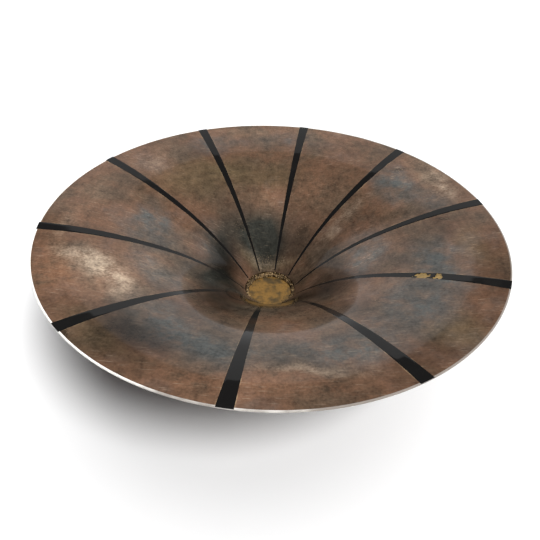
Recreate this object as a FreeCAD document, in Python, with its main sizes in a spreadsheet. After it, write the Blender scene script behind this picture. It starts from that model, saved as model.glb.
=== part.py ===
# Flared gong dish: a spun metal funnel with ten black inlaid stripes, brazed to a turned foot.
# Millimetres and degrees. +Z is up, and the origin is the centre of the foot's resting face.
import FreeCAD, Part
import math
import os

import Sketcher

PARTS_FOLDER = "parts"

# Driving dimensions: cell alias, value, meaning. The dish's profile is two tangent arcs in the
# plane of the axis, both with their centres below the sheet, so that it opens like a trumpet.
SIZES = [
    ("rim_radius", 200.0, "axis to the rim, on the upper face"),
    ("rim_slope", 9.9, "slope of the sheet at the rim"),
    ("outer_arc_radius", 366.0, "profile arc from the rim to the blend, upper face"),
    ("blend_radius", 100.0, "axis to the point where the two arcs meet"),
    ("inner_arc_radius", 234.0, "profile arc from the blend to the neck, upper face"),
    ("neck_radius", 25.4, "axis to the neck's edge, on the upper face"),
    ("sheet_thickness", 1.2, "gauge of the spun sheet"),
    ("channel_depth", 0.4, "depth of the inlays under the upper face"),
    ("stripe_width", 3.07, "angle that one stripe covers"),
    ("stripe_gap", 1.0, "bare sheet between the neck's edge and a stripe's end"),
    ("first_stripe", -134.85, "direction of the first stripe, from +X towards +Y"),
    ("plate_thickness", 2.0, "gauge of the centre plate"),
    ("plate_drop", 4.4, "centre plate's face below the neck's edge"),
    ("seam_width", 3.2, "ring of brazing metal between the plate and the neck's edge"),
    ("seam_bead_radius", 6.0, "roundness of that ring's face"),
    ("foot_web", 8.0, "foot's resting face to the plate's seat"),
    ("foot_radius", 46.0, "axis to the foot's edge"),
    ("foot_edge", 3.5, "height of the foot's straight edge"),
    ("foot_chamfer", 0.6, "edge break round the resting face"),
    ("cove_radius", 24.0, "hollow curve from the foot's edge up to its collar"),
    ("collar_width", 6.6, "collar that carries the shell, outwards from the neck's edge"),
    ("collar_wall", 3.5, "height of the collar's straight side"),
    ("ring_width", 12.0, "resting ring between the foot's edge and its relief"),
    ("relief_depth", 1.0, "turned relief inside the resting ring"),
    ("fillet_leg", 2.5, "leg of the brazed fillet round the collar"),
    ("fillet_radius", 9.0, "hollow of that fillet's face"),
]

# Each stripe was laid by eye: its turn away from an even pitch.
STRIPE_SHIFTS = [1.2, 2.3, 1.2, 0.8, -0.2, -1.0, -1.4, -0.9, -1.6, 0.0]
STRIPE_PITCH = 360.0 / len(STRIPE_SHIFTS)

CUTTER_OVERSHOOT = 2.0  # how far a channel's cutter stands out of the sheet

# What follows from the driving dimensions: name, expression.
DERIVED = [
    ("plate_radius", "Sizes.neck_radius - Sizes.seam_width"),
    ("plate_top", "Sizes.foot_web + Sizes.plate_thickness"),
    ("neck_height", "plate_top + Sizes.plate_drop"),
    (
        "blend_sine",
        "sin(Sizes.rim_slope * 1 deg)"
        " + (Sizes.rim_radius - Sizes.blend_radius) / Sizes.outer_arc_radius",
    ),
    ("inner_centre", "Sizes.blend_radius + Sizes.inner_arc_radius * blend_sine"),
    (
        "inner_depth",
        "sqrt(Sizes.inner_arc_radius ^ 2 - (inner_centre - Sizes.neck_radius) ^ 2)"
        " - neck_height",
    ),
    ("outer_centre", "Sizes.rim_radius + Sizes.outer_arc_radius * sin(Sizes.rim_slope * 1 deg)"),
    (
        "outer_depth",
        "inner_depth + (Sizes.outer_arc_radius - Sizes.inner_arc_radius)"
        " * sqrt(1 - blend_sine ^ 2)",
    ),
]

LEFT, RIGHT = -1, 1  # the side of the path on which an arc's centre lies
NECK = "Sizes.neck_radius"
GAUGE = "Sizes.sheet_thickness"


def make_sizes(doc):
    """Spreadsheet with the driving dimensions, one row each: name, value, meaning."""
    sheet = doc.addObject("Spreadsheet::Sheet", "Sizes")
    shifts = [
        (f"stripe_shift_{number:02d}", shift, "this stripe's turn from an even pitch")
        for number, shift in enumerate(STRIPE_SHIFTS, 1)
    ]
    for row, (alias, number, meaning) in enumerate(SIZES + shifts, 1):
        sheet.set(f"A{row}", alias)
        sheet.set(f"B{row}", str(number))
        sheet.set(f"C{row}", meaning)
        sheet.setAlias(f"B{row}", alias)
    doc.recompute()


def make_derived(doc):
    """Variables that follow from the sheet, so that sketches can share them."""
    derived = doc.addObject("App::VarSet", "Derived")
    for name, expression in DERIVED:
        derived.addProperty("App::PropertyFloat", name, "Derived")
        derived.setExpression(name, expression)
        doc.recompute()


def sheet_point(arc, radius, depth):
    """Expressions for a point of the sheet's section, on the inner or the outer arc.

    It lies depth below the upper face, along the normal through the face at that radius.
    """
    centre, drop = f"Derived.{arc}_centre", f"Derived.{arc}_depth"
    size = f"Sizes.{arc}_arc_radius"
    face = f"(sqrt({size} ^ 2 - ({centre} - {radius}) ^ 2) - {drop})"
    across = f"{radius} + ({centre} - {radius}) * {depth} / {size}"
    up = f"{face} - ({face} + {drop}) * {depth} / {size}"
    return across, up


def make_body(doc, name):
    """Empty body, and a sketch on its XZ plane: x runs outwards, y runs up."""
    body = doc.addObject("PartDesign::Body", name)
    sketch = body.newObject("Sketcher::SketchObject", name + "_profile")
    plane = next(item for item in body.Origin.OriginFeatures if item.Role == "XZ_Plane")
    sketch.AttachmentSupport = [(plane, "")]
    sketch.MapMode = "FlatFace"
    return body, sketch


def bind(sketch, kind, places, expression):
    """Add a dimension to a sketch and tie it to an expression in millimetres."""
    start = float(sketch.evalExpression(expression))
    index = sketch.addConstraint(Sketcher.Constraint(kind, *places, start))
    sketch.setExpression(f"Constraints[{index}]", f"({expression}) * 1 mm")


def arc_through(start, end, radius, side):
    """Short arc between two points, with its centre left or right of the way along it."""
    chord = end - start
    right = FreeCAD.Vector(chord.y, -chord.x, 0).normalize() * side
    middle = (start + end) / 2
    centre = middle + right * math.sqrt(radius**2 - chord.Length**2 / 4)
    return Part.Arc(start, centre - right * radius, end)


def draw_outline(sketch, corners):
    """Closed outline. A corner is (x, y, side): side is None where a straight line leaves it,
    or (radius, LEFT or RIGHT) where an arc does. Every number is an expression."""
    axes = {"DistanceX": -2, "DistanceY": -1}
    points = [
        FreeCAD.Vector(*(float(sketch.evalExpression(text)) for text in corner[:2]), 0)
        for corner in corners
    ]
    ends = []
    for index, (across, up, side) in enumerate(corners):
        start, end = points[index], points[(index + 1) % len(points)]
        if side is None:
            line = sketch.addGeometry(Part.LineSegment(start, end))
            first, last = 1, 2
        else:
            radius, hand = side
            bend = arc_through(start, end, float(sketch.evalExpression(radius)), hand)
            line = sketch.addGeometry(bend)
            on_start = sketch.getPoint(line, 1).distanceToPoint(start) < 1e-6
            first, last = (1, 2) if on_start else (2, 1)
            bind(sketch, "Radius", [line], radius)
        for kind, text in (("DistanceX", across), ("DistanceY", up)):
            if text == "0":
                sketch.addConstraint(
                    Sketcher.Constraint("PointOnObject", line, first, axes[kind])
                )
            else:
                bind(sketch, kind, [-1, 1, line, first], text)
        ends.append((line, first, last))
    for index, (line, _, last) in enumerate(ends):
        following, first, _ = ends[(index + 1) % len(ends)]
        sketch.addConstraint(Sketcher.Constraint("Coincident", line, last, following, first))


def revolve(body, sketch, angle=None):
    """Turn a sketch round the axis: all the way, or by an angle half to each side."""
    turned = body.newObject("PartDesign::Revolution", body.Name + "_turned")
    turned.Profile = (sketch, [""])
    turned.ReferenceAxis = (sketch, ["V_Axis"])
    turned.Angle = 360.0
    if angle:
        turned.Midplane = True
        turned.setExpression("Angle", angle)


def band(start, end, top, bottom):
    """Corners of a strip that follows the sheet's section between two radii and two depths."""
    blend = "Sizes.blend_radius"
    return [
        (*sheet_point("inner", start, top), (f"Sizes.inner_arc_radius - {top}", RIGHT)),
        (*sheet_point("inner", blend, top), (f"Sizes.outer_arc_radius - {top}", RIGHT)),
        (*sheet_point("outer", end, top), None),
        (*sheet_point("outer", end, bottom), (f"Sizes.outer_arc_radius - {bottom}", LEFT)),
        (*sheet_point("inner", blend, bottom), (f"Sizes.inner_arc_radius - {bottom}", LEFT)),
        (*sheet_point("inner", start, bottom), None),
    ]


def make_blank(doc):
    """Spun sheet before its channels are cut."""
    body, sketch = make_body(doc, "shell_blank")
    draw_outline(sketch, band(NECK, "Sizes.rim_radius", "0", GAUGE))
    revolve(body, sketch)
    return body


def make_cutter(doc, number):
    """Cutter for one channel: deep as the inlay, and standing out of the sheet elsewhere."""
    body, sketch = make_body(doc, f"cutter_{number:02d}")
    start = f"({NECK} + Sizes.stripe_gap)"
    end = f"(Sizes.rim_radius + {CUTTER_OVERSHOOT})"
    draw_outline(sketch, band(start, end, f"({-CUTTER_OVERSHOOT})", "Sizes.channel_depth"))
    revolve(body, sketch, "Sizes.stripe_width * 1 deg")
    body.Placement = FreeCAD.Placement(
        FreeCAD.Vector(), FreeCAD.Rotation(FreeCAD.Vector(0, 0, 1), 1)
    )
    turn = f"Sizes.first_stripe + {STRIPE_PITCH * (number - 1)} + Sizes.stripe_shift_{number:02d}"
    body.setExpression("Placement.Rotation.Angle", f"({turn}) * 1 deg")
    return body


def make_dish(doc):
    """Shell with its channels, and the inlays that fill them."""
    blank = make_blank(doc)
    numbers = range(1, len(STRIPE_SHIFTS) + 1)
    cutters = [make_cutter(doc, number) for number in numbers]
    channels = doc.addObject("Part::MultiFuse", "channels")
    channels.Shapes = cutters
    shell = doc.addObject("Part::Cut", "flared_shell")
    shell.Base = blank
    shell.Tool = channels
    stripes = []
    for number, cutter in zip(numbers, cutters):
        stripe = doc.addObject("Part::Common", f"stripe_{number:02d}")
        stripe.Base = blank
        stripe.Tool = cutter
        stripes.append(stripe)
    return [shell, *stripes]


def make_centre_plate(doc):
    """Disc that closes the neck, on the foot's seat."""
    plate = doc.addObject("Part::Cylinder", "centre_plate")
    plate.setExpression("Radius", "Derived.plate_radius * 1 mm")
    plate.setExpression("Height", "Sizes.plate_thickness * 1 mm")
    plate.setExpression("Placement.Base.z", "Sizes.foot_web * 1 mm")
    return plate


def make_neck_seam(doc):
    """Ring of brazing metal that fills the gap between plate, foot and neck."""
    body, sketch = make_body(doc, "neck_seam")
    lip_across, lip_up = sheet_point("inner", NECK, GAUGE)
    corners = [
        ("Derived.plate_radius", "Sizes.foot_web", None),
        (lip_across, "Sizes.foot_web", None),
        (lip_across, lip_up, None),
        (NECK, "Derived.neck_height", ("Sizes.seam_bead_radius", LEFT)),
        ("Derived.plate_radius", "Derived.plate_top", None),
    ]
    draw_outline(sketch, corners)
    revolve(body, sketch)
    return body


def make_foot(doc):
    """Turned foot: resting ring, hollow side, and a collar that bears the shell."""
    body, sketch = make_body(doc, "foot")
    lip_across, lip_up = sheet_point("inner", NECK, GAUGE)
    collar_across, collar_up = sheet_point("inner", f"({NECK} + Sizes.collar_width)", GAUGE)
    relief = "Sizes.foot_radius - Sizes.ring_width"
    corners = [
        ("0", "Sizes.relief_depth", None),
        (relief, "Sizes.relief_depth", None),
        (relief, "0", None),
        ("Sizes.foot_radius - Sizes.foot_chamfer", "0", None),
        ("Sizes.foot_radius", "Sizes.foot_chamfer", None),
        ("Sizes.foot_radius", "Sizes.foot_edge", ("Sizes.cove_radius", RIGHT)),
        (collar_across, f"{collar_up} - Sizes.collar_wall", None),
        (collar_across, collar_up, (f"Sizes.inner_arc_radius - {GAUGE}", LEFT)),
        (lip_across, lip_up, None),
        (lip_across, "Sizes.foot_web", None),
        ("0", "Sizes.foot_web", None),
    ]
    draw_outline(sketch, corners)
    revolve(body, sketch)
    return body


def make_foot_seam(doc):
    """Brazed fillet between the collar's side and the sheet's under face."""
    body, sketch = make_body(doc, "foot_seam")
    collar = f"({NECK} + Sizes.collar_width)"
    across, up = sheet_point("inner", collar, GAUGE)
    outer_across, outer_up = sheet_point("inner", f"({collar} + Sizes.fillet_leg)", GAUGE)
    corners = [
        (across, f"{up} - Sizes.fillet_leg", ("Sizes.fillet_radius", RIGHT)),
        (outer_across, outer_up, (f"Sizes.inner_arc_radius - {GAUGE}", LEFT)),
        (across, up, None),
    ]
    draw_outline(sketch, corners)
    revolve(body, sketch)
    return body


def check(doc, pieces):
    """Stop if any feature failed or any piece is empty or broken."""
    for item in doc.Objects:
        if {"Invalid", "Error"} & set(item.State):
            raise RuntimeError(f"{item.Name} did not build: {item.State}")
    for piece in pieces:
        if piece.Shape.isNull() or not piece.Shape.isValid() or not piece.Shape.Solids:
            raise RuntimeError(f"{piece.Label} has no valid solid")


def main():
    os.makedirs(PARTS_FOLDER, exist_ok=True)
    doc = FreeCAD.newDocument("gong_dish")
    make_sizes(doc)
    make_derived(doc)
    pieces = make_dish(doc)
    pieces += [make_centre_plate(doc), make_neck_seam(doc), make_foot(doc), make_foot_seam(doc)]
    doc.recompute()
    check(doc, pieces)
    for piece in pieces:
        piece.Shape.exportStep(os.path.join(PARTS_FOLDER, piece.Label + ".step"))
        box = piece.Shape.BoundBox
        print(f"{piece.Label}: {piece.Shape.Volume:.1f} mm3, z {box.ZMin:.2f} to {box.ZMax:.2f}")


main()
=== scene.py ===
"""Looks of a flared gong dish: a spun metal funnel with black inlaid stripes on a turned foot.

Lengths are metres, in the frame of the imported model: +Z runs up the dish's axis from the centre
of the foot's resting face. Distances on the dish are also given as shares of the rim's radius.
"""
import logging
import math
from dataclasses import dataclass, field
from enum import Enum
from typing import Callable, Sequence

import bmesh
import bpy
import numpy as np
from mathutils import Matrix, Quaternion, Vector, noise


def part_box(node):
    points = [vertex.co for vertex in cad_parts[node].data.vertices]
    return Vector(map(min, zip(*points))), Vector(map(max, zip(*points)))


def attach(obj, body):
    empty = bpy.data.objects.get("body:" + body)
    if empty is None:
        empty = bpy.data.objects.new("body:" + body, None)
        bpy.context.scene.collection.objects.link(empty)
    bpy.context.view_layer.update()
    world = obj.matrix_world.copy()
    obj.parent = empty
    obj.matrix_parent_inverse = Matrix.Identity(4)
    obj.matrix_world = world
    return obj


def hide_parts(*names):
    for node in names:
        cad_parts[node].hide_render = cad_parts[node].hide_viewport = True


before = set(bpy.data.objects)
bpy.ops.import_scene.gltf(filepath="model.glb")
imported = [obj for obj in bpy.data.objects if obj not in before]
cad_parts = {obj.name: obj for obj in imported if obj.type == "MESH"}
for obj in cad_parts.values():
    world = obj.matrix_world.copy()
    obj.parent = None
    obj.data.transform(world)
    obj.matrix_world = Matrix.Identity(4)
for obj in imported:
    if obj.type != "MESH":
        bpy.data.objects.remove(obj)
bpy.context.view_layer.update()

ROOT = "root"
PATCH_SEED = 11
MM = 0.001
TINY = 1e-9
WELD = 1e-6
Colour = tuple[float, float, float]
Material = bpy.types.Material
Socket = bpy.types.NodeSocket
log = logging.getLogger("gong_dish")


# ---------------------------------------------------------------------------------------------
# Nodes written as expressions
# ---------------------------------------------------------------------------------------------


def operator(name: str, swapped: bool = False) -> Callable[["Term", object], "Term"]:
    """Make a method of two values.

    Args:
        name: the Math node's operation.
        swapped: whether the other value comes first, for a number on the left.

    Returns:
        A method that adds the Math node and gives its result.
    """

    def method(self: "Term", other: object) -> "Term":
        """Add the Math node."""
        return self.join(name, other, self) if swapped else self.join(name, self, other)

    return method


class Term:
    """A number on a node's socket, so that node maths reads as an expression."""

    __add__, __radd__ = operator("ADD"), operator("ADD", True)
    __sub__, __rsub__ = operator("SUBTRACT"), operator("SUBTRACT", True)
    __mul__, __rmul__ = operator("MULTIPLY"), operator("MULTIPLY", True)
    __truediv__, __pow__ = operator("DIVIDE"), operator("POWER")
    __lt__, most = operator("LESS_THAN"), operator("MAXIMUM")

    def __init__(self, tree: bpy.types.NodeTree, socket: Socket) -> None:
        """Keep the socket and the tree that it belongs to."""
        self.tree = tree
        self.socket = socket

    def join(self, operation: str, *values: object) -> "Term":
        """Add a Math node.

        Args:
            operation: the Math node's operation.
            values: its inputs in order, as numbers or terms.

        Returns:
            The node's result.
        """
        node = self.tree.nodes.new("ShaderNodeMath")
        node.operation = operation
        for socket, value in zip(node.inputs, values):
            plug(self.tree, socket, value)
        return Term(self.tree, node.outputs[0])

    def root(self) -> "Term":
        """Square root."""
        return self.join("SQRT", self)

    def size(self) -> "Term":
        """Absolute value."""
        return self.join("ABSOLUTE", self)

    def clamp(self) -> "Term":
        """This, kept between 0 and 1."""
        result = self.join("ADD", self, 0.0)
        result.socket.node.use_clamp = True
        return result


def plug(tree: bpy.types.NodeTree, socket: Socket, value: object) -> None:
    """Give a socket its value.

    Args:
        tree: the tree that the socket is in.
        socket: an input.
        value: a term or an output to link, or a constant.
    """
    if isinstance(value, Term):
        tree.links.new(value.socket, socket)
    elif isinstance(value, Socket):
        tree.links.new(value, socket)
    elif socket.type == "RGBA" and len(value) == 3:
        socket.default_value = (*value, 1.0)
    else:
        socket.default_value = value


class Bench:
    """A node tree with short ways to add nodes to it."""

    def __init__(self, tree: bpy.types.NodeTree) -> None:
        """Empty the tree and keep it."""
        self.tree = tree
        tree.nodes.clear()

    def node(
        self, kind: str, settings: dict | None = None, inputs: dict | None = None
    ) -> bpy.types.Node:
        """Add a node.

        Args:
            kind: the node's type name.
            settings: its properties, which are set first.
            inputs: what its sockets get, by name or index.

        Returns:
            The node.
        """
        made = self.tree.nodes.new(kind)
        for name, value in (settings or {}).items():
            setattr(made, name, value)
        for name, value in (inputs or {}).items():
            plug(self.tree, made.inputs[name], value)
        return made

    def term(self, socket: Socket) -> Term:
        """The socket as a term."""
        return Term(self.tree, socket)

    def vector(self, operation: str, *values: object) -> Socket:
        """Result of a Vector Math node that gives a vector."""
        inputs = dict(enumerate(values))
        return self.node("ShaderNodeVectorMath", {"operation": operation}, inputs).outputs[0]

    def scaled(self, vector: object, factor: object) -> Socket:
        """A vector times a number."""
        settings, inputs = {"operation": "SCALE"}, {0: vector, "Scale": factor}
        return self.node("ShaderNodeVectorMath", settings, inputs).outputs[0]

    def length(self, vector: object) -> Term:
        """Length of a vector."""
        made = self.node("ShaderNodeVectorMath", {"operation": "LENGTH"}, {0: vector})
        return self.term(made.outputs["Value"])

    def ramp(self, value: object, low: float, high: float) -> Term:
        """Smooth step from 0 where value is at low to 1 where it is at high.

        Args:
            value: what the step follows.
            low: its value where the step is 0.
            high: its value where the step is 1.

        Returns:
            The step.
        """
        inputs = {"Value": value, "From Min": low, "From Max": high}
        made = self.node("ShaderNodeMapRange", {"interpolation_type": "SMOOTHSTEP"}, inputs)
        return self.term(made.outputs["Result"])

    def grain(
        self, place: object, scale: float, detail: float = 4.0, roughness: float = 0.55
    ) -> Term:
        """Noise between 0 and 1 with a middle of one half."""
        inputs = {"Vector": place, "Scale": scale, "Detail": detail, "Roughness": roughness}
        return self.term(self.node("ShaderNodeTexNoise", {}, inputs).outputs[0])

    def drift(self, place: object, scale: float, amount: float) -> Socket:
        """A place pushed about by noise, so that what is drawn there loses its outline.

        Args:
            place: where the surface is.
            scale: the noise's scale.
            amount: how far it pushes, in metres.

        Returns:
            The place, moved.
        """
        inputs = {"Vector": place, "Scale": scale, "Detail": 5.0, "Roughness": 0.62}
        colour = self.node("ShaderNodeTexNoise", {}, inputs).outputs["Color"]
        push = self.scaled(self.vector("SUBTRACT", colour, (0.5, 0.5, 0.5)), amount)
        return self.vector("ADD", place, push)

    def mix(self, factor: object, under: object, over: object) -> Socket:
        """Colour that goes from one to another."""
        settings = {"data_type": "RGBA", "clamp_factor": True}
        return self.node("ShaderNodeMix", settings, {0: factor, 6: under, 7: over}).outputs[2]

    def xyz(self, **parts: object) -> Socket:
        """Vector made of its parts X, Y and Z."""
        return self.node("ShaderNodeCombineXYZ", {}, parts).outputs[0]

    def axis(self, place: object, name: str) -> Term:
        """One part of a vector."""
        return self.term(self.node("ShaderNodeSeparateXYZ", {}, {0: place}).outputs[name])

    def stored(self, name: str) -> Term:
        """Number that the mesh holds as an attribute."""
        return self.term(self.node("ShaderNodeAttribute", {"attribute_name": name}).outputs["Fac"])

    def flatten(self, place: object) -> Socket:
        """A place seen from above."""
        return self.vector("MULTIPLY", place, (1.0, 1.0, 0.0))

    def rings(
        self, flat: object, out: Term, drag: float, detail: float, roughness: float = 0.55
    ) -> Term:
        """Noise drawn out into rings, as a lathe leaves it.

        Args:
            flat: the place seen from above.
            out: what grows from ring to ring.
            drag: how fast the rings change on the way round.
            detail: the noise's detail.
            roughness: the noise's roughness.

        Returns:
            The noise, between 0 and 1.
        """
        around = self.scaled(self.vector("NORMALIZE", flat), drag)
        return self.grain(self.vector("ADD", around, self.xyz(Z=out)), 9.0, detail, roughness)


class PaintBench(Bench):
    """Bench for a material: its one shader, and where on the piece it is."""

    def __init__(self, material: Material, constants: dict[str, float]) -> None:
        """Make the shader with what is the same all over it.

        Args:
            material: the material, still without nodes.
            constants: what the shader's sockets hold, by name.
        """
        material.use_nodes = True
        super().__init__(material.node_tree)
        self.shader = self.node("ShaderNodeBsdfPrincipled", {}, constants)
        output = self.node("ShaderNodeOutputMaterial")
        plug(self.tree, output.inputs["Surface"], self.shader.outputs[0])
        self.place = self.node("ShaderNodeTexCoord").outputs["Object"]

    def paint(self, name: str, value: object) -> None:
        """Give one of the shader's sockets what varies over the surface."""
        plug(self.tree, self.shader.inputs[name], value)

    def bump(self, height: Term, depth: float) -> None:
        """Raise the surface by a height between 0 and 1, times a depth in metres."""
        inputs = {"Height": height, "Distance": depth, "Strength": 1.0}
        self.paint("Normal", self.node("ShaderNodeBump", {}, inputs).outputs[0])


class GrowBench(Bench):
    """Bench for a tree of geometry nodes whose inputs are named numbers."""

    def __init__(self, name: str, sizes: Sequence[str]) -> None:
        """Make the tree, with one input for each size.

        Args:
            name: the tree's name.
            sizes: the names of its inputs.
        """
        super().__init__(bpy.data.node_groups.new(name, "GeometryNodeTree"))
        face = self.tree.interface
        face.new_socket("Geometry", in_out="OUTPUT", socket_type="NodeSocketGeometry")
        self.sockets = {
            size: face.new_socket(size, in_out="INPUT", socket_type="NodeSocketFloat").identifier
            for size in sizes
        }
        source = self.node("NodeGroupInput")
        self.given = {size: self.term(source.outputs[size]) for size in sizes}

    def made(
        self, kind: str, inputs: dict | None = None, settings: dict | None = None
    ) -> Socket:
        """First output of a node that is added."""
        return self.node(f"GeometryNode{kind}", settings, inputs).outputs[0]

    def random(self, least: Sequence[float], most: Sequence[float], seed: int) -> object:
        """Random vector between two."""
        inputs = {0: least, 1: most, "Seed": seed}
        return self.node("FunctionNodeRandomValue", {"data_type": "FLOAT_VECTOR"}, inputs).outputs[0]

    def joined(self, parts: Sequence[Socket]) -> Socket:
        """Several parts as one.

        Args:
            parts: the parts.

        Returns:
            All of them as one geometry.
        """
        join = self.node("GeometryNodeJoinGeometry")
        for part in parts:
            self.tree.links.new(part, join.inputs[0])
        return join.outputs[0]

    def hand_over(self, geometry: Socket, material: Material) -> None:
        """End the tree with plain geometry in its material.

        Args:
            geometry: what the tree has made.
            material: what it is made of.
        """
        real = self.made("RealizeInstances", {"Geometry": geometry})
        dressed = self.made("SetMaterial", {"Geometry": real, "Material": material})
        self.tree.links.new(dressed, self.node("NodeGroupOutput").inputs[0])

    def grow(self, name: str, sizes: dict[str, float]) -> bpy.types.Mesh:
        """Run the tree and keep its result.

        Args:
            name: the new mesh's name.
            sizes: the tree's inputs by name, in metres or radians.

        Returns:
            A plain mesh with the material that the tree set.
        """
        seed = bpy.data.meshes.new(name + "_seed")
        seed.from_pydata([(0.0, 0.0, 0.0)], [], [])
        holder = bpy.data.objects.new(name + "_holder", seed)
        bpy.context.scene.collection.objects.link(holder)
        modifier = holder.modifiers.new("grow", "NODES")
        modifier.node_group = self.tree
        for size, value in sizes.items():
            modifier[self.sockets[size]] = float(value)
        graph = bpy.context.evaluated_depsgraph_get()
        graph.update()
        mesh = bpy.data.meshes.new_from_object(holder.evaluated_get(graph))
        mesh.name = name
        holder.modifiers.remove(modifier)
        bpy.data.objects.remove(holder)
        bpy.data.meshes.remove(seed)
        return mesh


# ---------------------------------------------------------------------------------------------
# Finishes
# ---------------------------------------------------------------------------------------------


@dataclass(frozen=True)
class Spot:
    """A soft patch on the dish, in shares of the rim's radius, seen from above."""

    across: float
    along: float
    length: float
    width: float
    turn: float = 0.0
    strength: float = 1.0


FADE_END = 1.25


@dataclass(frozen=True)
class Layer:
    """Patches that share one meaning, and where each begins to fade, as a share of its size."""

    name: str
    edge: float
    spots: tuple[Spot, ...]

    def cover(self, places: np.ndarray) -> np.ndarray:
        """Sum of the patches at some places.

        Args:
            places: across and along for each place, in shares of the rim's radius.

        Returns:
            One number for each place, where 1 is a whole patch.
        """
        total = np.zeros(len(places))
        for spot in self.spots:
            turn = math.radians(spot.turn)
            away = places - (spot.across, spot.along)
            length = (away[:, 0] * math.cos(turn) + away[:, 1] * math.sin(turn)) / spot.length
            width = (away[:, 1] * math.cos(turn) - away[:, 0] * math.sin(turn)) / spot.width
            share = np.clip((FADE_END - np.hypot(length, width)) / (FADE_END - self.edge), 0.0, 1.0)
            total += spot.strength * share * share * (3.0 - 2.0 * share)
        return total


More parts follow.
